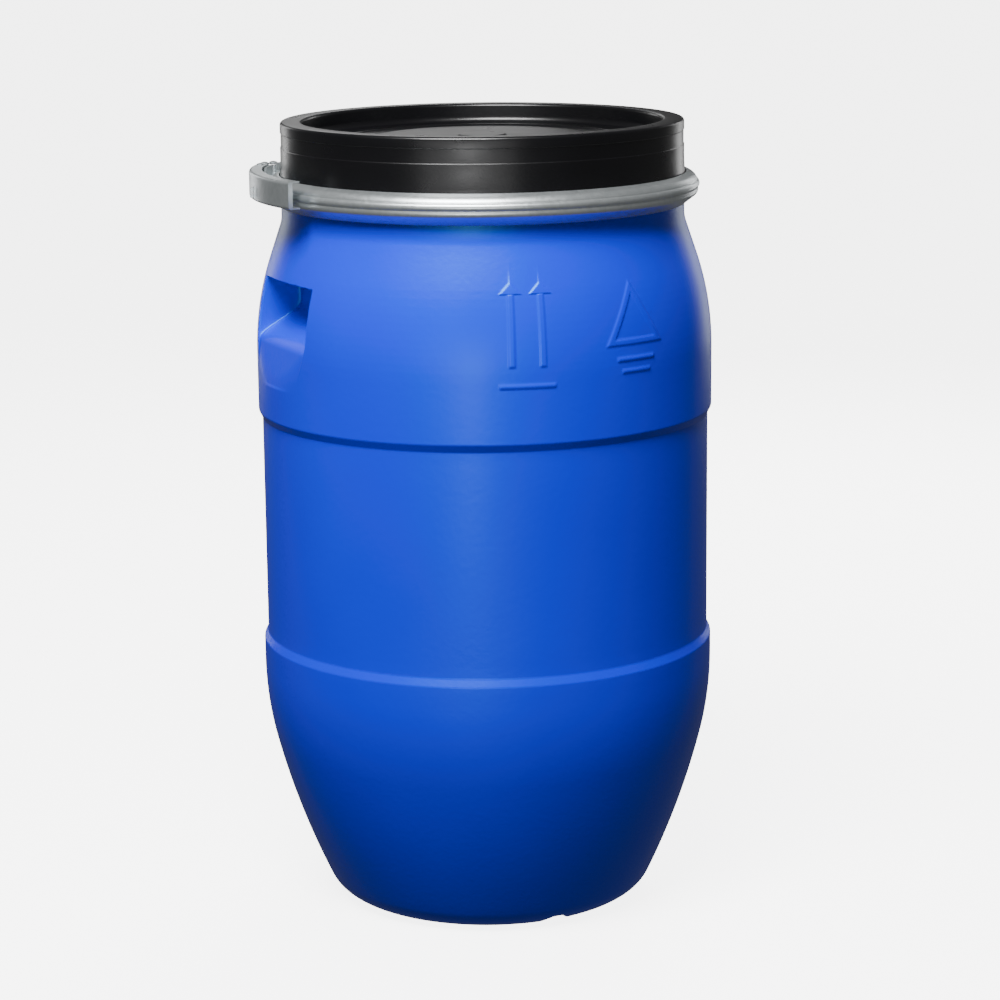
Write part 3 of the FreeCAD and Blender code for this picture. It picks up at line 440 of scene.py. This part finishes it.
# ---------------------------------------------------------------- lid and gasket
def make_lid():
    """The lid's closed section: over the top, down the outside, and back along the underside."""
    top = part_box("lid")[1].z / MM
    bead_in, bead_out, bead_high = LID_BEAD[0], LID_BEAD[0] + 9, LID_BEAD[1]
    band = LID_RIM - LID_BAND_DEPTH
    rim_wall = LID_RIM - WALL
    recess_wall = LID_RIM_INNER + WALL
    outline = rounded([
        (0, LID_BOSS[1]), (*LID_BOSS, 2), (LID_BOSS[0] + 2, LID_MIDDLE[1], 2),
        (*LID_MIDDLE, 4), (LID_MIDDLE[0] + 6, LID_FLOOR, 4), (bead_in, LID_FLOOR, 2),
        (bead_in + 2, bead_high, 2), (bead_out - 2, bead_high, 2), (bead_out, LID_FLOOR, 2),
        (LID_RIM_INNER, LID_FLOOR, 7), (LID_RIM_INNER, top, 3.2), (LID_RIM, top, 3.2),
        (LID_RIM, LID_BAND[1], 0.4), (band, LID_BAND[1] - 0.8, 0.4), (band, LID_BAND[0] + 0.8, 0.4),
        (LID_RIM, LID_BAND[0], 0.4), (LID_RIM, FLARE_START),
    ], 5)
    outline += arc((LID_RIM, FLARE_START), FLARE_END, FLARE_ROUND, 6)
    outline += rounded([
        FLARE_END, (FLARE_END[0], CLAMP_HIGH, 0.6), (*CLAMP_STEP, 2),
        (LID_FLANGE, LID_FLANGE_HIGH, 1.5), (LID_FLANGE, LID_FLANGE_LOW, 0.6),
        (SEAT[1], LID_FLANGE_LOW, 0.3), (SEAT[1], SEAT_ROOF, 0.8), (SEAT[0], SEAT_ROOF, 0.8),
        (SEAT[0], PLUG_TOP, 0.5), (PLUG, PLUG_TOP, 1), (PLUG, PLUG_LOW + 2, 1),
        (PLUG - 2, PLUG_LOW, 0.8), (PLUG_INNER, PLUG_LOW, 0.5), (PLUG_INNER, 767, 2),
        (rim_wall, 769, 2), (rim_wall, top - WALL, 2), (recess_wall, top - WALL, 2),
        (recess_wall, LID_UNDERSIDE + 1, 1), (recess_wall - 1, LID_UNDERSIDE, 1),
        (110, LID_UNDERSIDE, 2), (108, LID_UNDERSIDE + 3, 2), (0, LID_UNDERSIDE + 3),
    ], 5)[1:]
    return lathe("lid_shell", spaced(outline, lambda height: 16), even_turn(320), smooth_angle=50)


def make_gasket():
    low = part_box("gasket")[0].z / MM
    high = low + GASKET_HEIGHT
    inner, outer = GASKET
    middle = (inner + outer) / 2
    outline = rounded([
        (middle, low), (outer, low, 2), (outer, high, GASKET_ROUND),
        (inner, high, GASKET_ROUND), (inner, low, 2), (middle - 0.1, low),
    ], 5)
    return lathe("gasket_ring", outline[:-1], even_turn(180), closed_outline=True, smooth_angle=60)


# ---------------------------------------------------------------- closing ring
SEAM = joint_place("ring_flex")
LOCK_ANGLE = math.atan2(-SEAM.y, -SEAM.x)
RING_GAP = math.radians(1.8)
STRIP = 1.4


def ring_outline():
    """Section of the rolled strip: the outside and, one thickness within it, the inside."""
    low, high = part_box("ring_band_front")
    middle = (low.z + high.z) / 2 / MM
    nose = SEAM.xy.length / MM - 0.1

    def to(across, up):
        return (nose - across, middle + up)

    outer = [to(14.4, 15.9)]
    outer += arc(to(14.4, 15.9), to(10.6, 14.7), -6, 4)
    outer += arc(to(10.6, 14.7), to(2.8, 7.6), -12, 8)
    outer += arc(to(2.8, 7.6), to(2.3, 6.9), 0.7, 3)
    outer += arc(to(2.3, 6.9), to(1.8, -0.2), -4.7, 8)
    outer += arc(to(1.8, -0.2), to(2.0, -1.0), 0.7, 3)
    outer += arc(to(2.0, -1.0), to(4.6, -7.9), -6, 7)
    outer += [to(7, -9.8), to(10, -12.1), to(14.7, -15.8)]
    outline = np.array(outer)
    step = np.gradient(outline, axis=0)
    step /= np.linalg.norm(step, axis=1)[:, None]
    inward = np.stack([step[:, 1], -step[:, 0]], axis=1)
    inner = outline + inward * STRIP
    return [tuple(p) for p in outline] + [tuple(p) for p in inner[::-1]]


def make_ring():
    """The whole strip in one piece, from one end at the lock round to the other."""
    angles = even_turn(420, LOCK_ANGLE + RING_GAP, math.tau - 2 * RING_GAP)
    return lathe("ring_strip", ring_outline(), angles, closed_outline=True, smooth_angle=35)


# ---------------------------------------------------------------- materials
class Painter:
    """Builds one node material."""

    def __init__(self, name):
        self.material = bpy.data.materials.new(name)
        self.material.use_nodes = True
        self.tree = self.material.node_tree
        self.shader = self.tree.nodes["Principled BSDF"]
        self.place = self.add("ShaderNodeTexCoord").outputs["Object"]

    def add(self, kind, **settings):
        node = self.tree.nodes.new(kind)
        for key, value in settings.items():
            setattr(node, key, value)
        return node

    def link(self, source, target):
        self.tree.links.new(source, target)

    def stretched(self, scale):
        node = self.add("ShaderNodeMapping")
        node.inputs["Scale"].default_value = scale
        self.link(self.place, node.inputs["Vector"])
        return node.outputs["Vector"]

    def noise(self, scale, detail=4, stretch=None, rough=0.55):
        node = self.add("ShaderNodeTexNoise")
        node.inputs["Scale"].default_value = scale
        node.inputs["Detail"].default_value = detail
        node.inputs["Roughness"].default_value = rough
        self.link(self.stretched(stretch) if stretch else self.place, node.inputs["Vector"])
        return node.outputs["Fac"]

    def cells(self, scale):
        node = self.add("ShaderNodeTexVoronoi")
        node.inputs["Scale"].default_value = scale
        self.link(self.place, node.inputs["Vector"])
        return node

    def spread(self, value, low, high, start=0.0, end=1.0):
        """Map a value from start..end to low..high."""
        node = self.add("ShaderNodeMapRange")
        node.inputs["From Min"].default_value = start
        node.inputs["From Max"].default_value = end
        node.inputs["To Min"].default_value = low
        node.inputs["To Max"].default_value = high
        self.link(value, node.inputs["Value"])
        return node.outputs["Result"]

    def ramp(self, value, stops):
        node = self.add("ShaderNodeValToRGB")
        ramp = node.color_ramp
        while len(ramp.elements) < len(stops):
            ramp.elements.new(0.5)
        for element, (position, colour) in zip(ramp.elements, stops):
            element.position = position
            element.color = (*colour, 1)
        self.link(value, node.inputs["Fac"])
        return node.outputs["Color"]

    def math(self, kind, first, second):
        node = self.add("ShaderNodeMath", operation=kind)
        for socket, value in zip(node.inputs, (first, second)):
            if isinstance(value, (int, float)):
                socket.default_value = value
            else:
                self.link(value, socket)
        return node.outputs["Value"]

    def bump(self, height, distance, strength=1.0, under=None):
        node = self.add("ShaderNodeBump")
        node.inputs["Distance"].default_value = distance
        node.inputs["Strength"].default_value = strength
        self.link(height, node.inputs["Height"])
        if under is not None:
            self.link(under, node.inputs["Normal"])
        return node.outputs["Normal"]

    def set(self, **values):
        for key, value in values.items():
            socket = self.shader.inputs[key.replace("_", " ")]
            if isinstance(value, (int, float, tuple)):
                socket.default_value = value
            else:
                self.link(value, socket)
        return self.material


def moulded_blue():
    paint = Painter("moulded_blue")
    cloud = paint.noise(3.0, 3)
    colour = paint.ramp(cloud, [(0.3, (0.0, 0.008, 0.80)), (0.7, (0.0, 0.014, 0.90))])
    grain = paint.noise(900, 2)
    streak = paint.noise(30, 3, (1, 1, 0.08))
    rough = paint.math("ADD", paint.spread(streak, -0.03, 0.03), paint.spread(cloud, 0.32, 0.38))
    peel = paint.bump(paint.noise(160, 2), 0.00012)
    fine = paint.bump(grain, 0.00004, under=peel)
    return paint.set(
        Base_Color=colour, Roughness=rough, Normal=fine, IOR=1.5, Specular_IOR_Level=0.8,
        Specular_Tint=(0.15, 0.7, 1.0, 1.0),
    )


def moulded_black():
    paint = Painter("moulded_black")
    cloud = paint.noise(5.0, 3)
    colour = paint.ramp(cloud, [(0.3, (0.0015, 0.0015, 0.002)), (0.7, (0.003, 0.003, 0.004))])
    rough = paint.spread(paint.noise(22, 4), 0.24, 0.34)
    grain = paint.bump(paint.noise(420, 3), 0.00008)
    return paint.set(
        Base_Color=colour, Roughness=rough, Normal=grain, IOR=1.5, Specular_IOR_Level=0.5,
    )


def soft_rubber():
    paint = Painter("soft_rubber")
    cloud = paint.noise(40, 3)
    colour = paint.ramp(cloud, [(0.3, (0.03, 0.03, 0.03)), (0.7, (0.05, 0.05, 0.05))])
    grain = paint.bump(paint.noise(700, 2), 0.0001)
    return paint.set(Base_Color=colour, Roughness=paint.spread(cloud, 0.7, 0.85), Normal=grain)


def zinc(name, bright, spangle):
    """Galvanised sheet: crystals of slightly different brightness and gloss, with fine scratches."""
    paint = Painter(name)
    crystals = paint.cells(spangle)
    shade = paint.spread(crystals.outputs["Color"], 0, 1)
    low = tuple(bright * tint * 0.93 for tint in (0.93, 1.0, 1.02))
    high = tuple(bright * tint for tint in (0.94, 1.0, 1.02))
    colour = paint.ramp(shade, [(0.0, low), (1.0, high)])
    cloud = paint.noise(60, 4)
    rough = paint.math("ADD", paint.spread(shade, 0.30, 0.36), paint.spread(cloud, -0.03, 0.04))
    scratch = paint.bump(paint.noise(500, 3, (1, 1, 0.15)), 0.00001)
    return paint.set(Base_Color=colour, Metallic=0.9, Roughness=rough, Normal=scratch)


# ---------------------------------------------------------------- pieces on their bodies
def dress(thing, material, body=None):
    thing.data.materials.clear()
    thing.data.materials.append(material)
    if body is not None:
        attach(thing, body)
    return thing


blue = moulded_blue()
black = moulded_black()
rubber = soft_rubber()
sheet_zinc = zinc("sheet_zinc", 0.72, 260)
pin_zinc = zinc("pin_zinc", 0.8, 500)

shell = dress(make_drum_shell(), blue, "drum")
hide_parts("drum_body")
lid = dress(make_lid(), black, "lid")
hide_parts("lid")
gasket = dress(make_gasket(), rubber, "lid")
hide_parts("gasket")

ring = dress(make_ring(), sheet_zinc)
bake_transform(ring)
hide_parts("ring_band_front", "ring_band_back")

FOLDED = ["lever", "link", "fulcrum_bracket", "link_bracket", "seal_lug"]
PINS = ["lever_pin", "link_pin", "anchor_pin", "bracket_rivets_front", "bracket_rivets_back"]
for names, material, slot in ((FOLDED, sheet_zinc, "galvanised_steel"), (PINS, pin_zinc, "pin_steel")):
    for name in names:
        dress(frame["nodes"][name], material)

# ---------------------------------------------------------------- camera, floor and light
scene = bpy.context.scene
VIEW_AZIMUTH = math.radians(-25.5)
VIEW_PITCH = math.radians(12.22)
VIEW_ROLL = math.radians(-0.59)
VIEW_DISTANCE = 3.132
VIEW_SIDE = 0.0147
VIEW_HEIGHT = 1.103
VIEW_LENS = 108.07
MIDDLE_HEIGHT = 0.45
BACKDROP_GLOW = 6
BACKDROP_LIGHT = 0.12
FLOOR_GLOW = 5
FLOOR_REACH = 60.0

camera_data = bpy.data.cameras.new("camera")
camera_data.sensor_width = 36
camera_data.lens = VIEW_LENS
camera = bpy.data.objects.new("camera", camera_data)
scene.collection.objects.link(camera)
forward = Vector((-math.sin(VIEW_AZIMUTH), math.cos(VIEW_AZIMUTH), 0))
right = Vector((math.cos(VIEW_AZIMUTH), math.sin(VIEW_AZIMUTH), 0))
camera.location = forward * -VIEW_DISTANCE + right * VIEW_SIDE + UP * VIEW_HEIGHT
aim = Euler((math.pi / 2 - VIEW_PITCH, 0, VIEW_AZIMUTH)).to_matrix()
roll = Matrix.Rotation(VIEW_ROLL, 3, "Z")
camera.rotation_euler = (aim @ roll).to_euler()
scene.camera = camera


def area_light(name, side, ahead, height, width, tall, power, matt=True, shine=True):
    """A soft panel placed in the camera's own directions and turned to the drum's middle.

    A panel without matt shows only in glossy surfaces, and one without shine only lights matt ones.
    """
    data = bpy.data.lights.new(name, "AREA")
    data.shape = "RECTANGLE"
    data.size = width
    data.size_y = tall
    data.energy = power
    light = bpy.data.objects.new(name, data)
    light.location = right * side + forward * ahead + UP * height
    target = UP * MIDDLE_HEIGHT
    light.rotation_euler = (target - light.location).to_track_quat("-Z", "Y").to_euler()
    light.visible_camera = False
    light.visible_diffuse = matt
    light.visible_glossy = shine
    scene.collection.objects.link(light)


area_light("key", -0.45, -1.45, 2.65, 1.4, 1.0, 165)
area_light("front_wide", -0.5, -3.4, 0.6, 3.2, 1.0, 17, matt=False)
area_light("front_low", -0.4, -3.2, 0.3, 0.8, 0.5, 9, matt=False)
area_light("side_left", -1.6, 2.6, 0.9, 0.5, 1.6, 8, matt=False)
area_light("side_right", 1.6, 2.6, 0.9, 0.5, 1.6, 8, matt=False)
area_light("behind", -0.3, 3.0, 1.6, 0.9, 0.5, 2.5, matt=False)
area_light("back_fill", 0.7, 2.4, 1.9, 1.6, 1.2, 90, shine=False)

# the backdrop looks white, and only a dim part of it lights the drum
world = bpy.data.worlds.new("studio")
world.use_nodes = True
nodes, links = world.node_tree.nodes, world.node_tree.links
soft = nodes["Background"]
soft.inputs["Color"].default_value = (1, 1, 1, 1)
soft.inputs["Strength"].default_value = BACKDROP_LIGHT
white = nodes.new("ShaderNodeBackground")
white.inputs["Strength"].default_value = BACKDROP_GLOW
seen = nodes.new("ShaderNodeLightPath")
mix = nodes.new("ShaderNodeMixShader")
links.new(seen.outputs["Is Camera Ray"], mix.inputs["Fac"])
links.new(soft.outputs["Background"], mix.inputs[1])
links.new(white.outputs["Background"], mix.inputs[2])
links.new(mix.outputs["Shader"], nodes["World Output"].inputs["Surface"])
scene.world = world

floor_mesh = bpy.data.meshes.new("floor")
corners = [(-1, -1, 0), (1, -1, 0), (1, 1, 0), (-1, 1, 0)]
floor_mesh.from_pydata([Vector(corner) * FLOOR_REACH for corner in corners], [], [(0, 1, 2, 3)])
floor = bpy.data.objects.new("floor", floor_mesh)
floor_paint = bpy.data.materials.new("floor_paint")
floor_paint.use_nodes = True
floor_shader = floor_paint.node_tree.nodes["Principled BSDF"]
floor_shader.inputs["Base Color"].default_value = (0.9, 0.9, 0.9, 1)
floor_shader.inputs["Roughness"].default_value = 0.8
floor_shader.inputs["Emission Color"].default_value = (1, 1, 1, 1)
floor_shader.inputs["Emission Strength"].default_value = FLOOR_GLOW
floor_paint.cycles.emission_sampling = "NONE"
floor_mesh.materials.append(floor_paint)
scene.collection.objects.link(floor)
floor.visible_diffuse = False
floor.visible_glossy = False
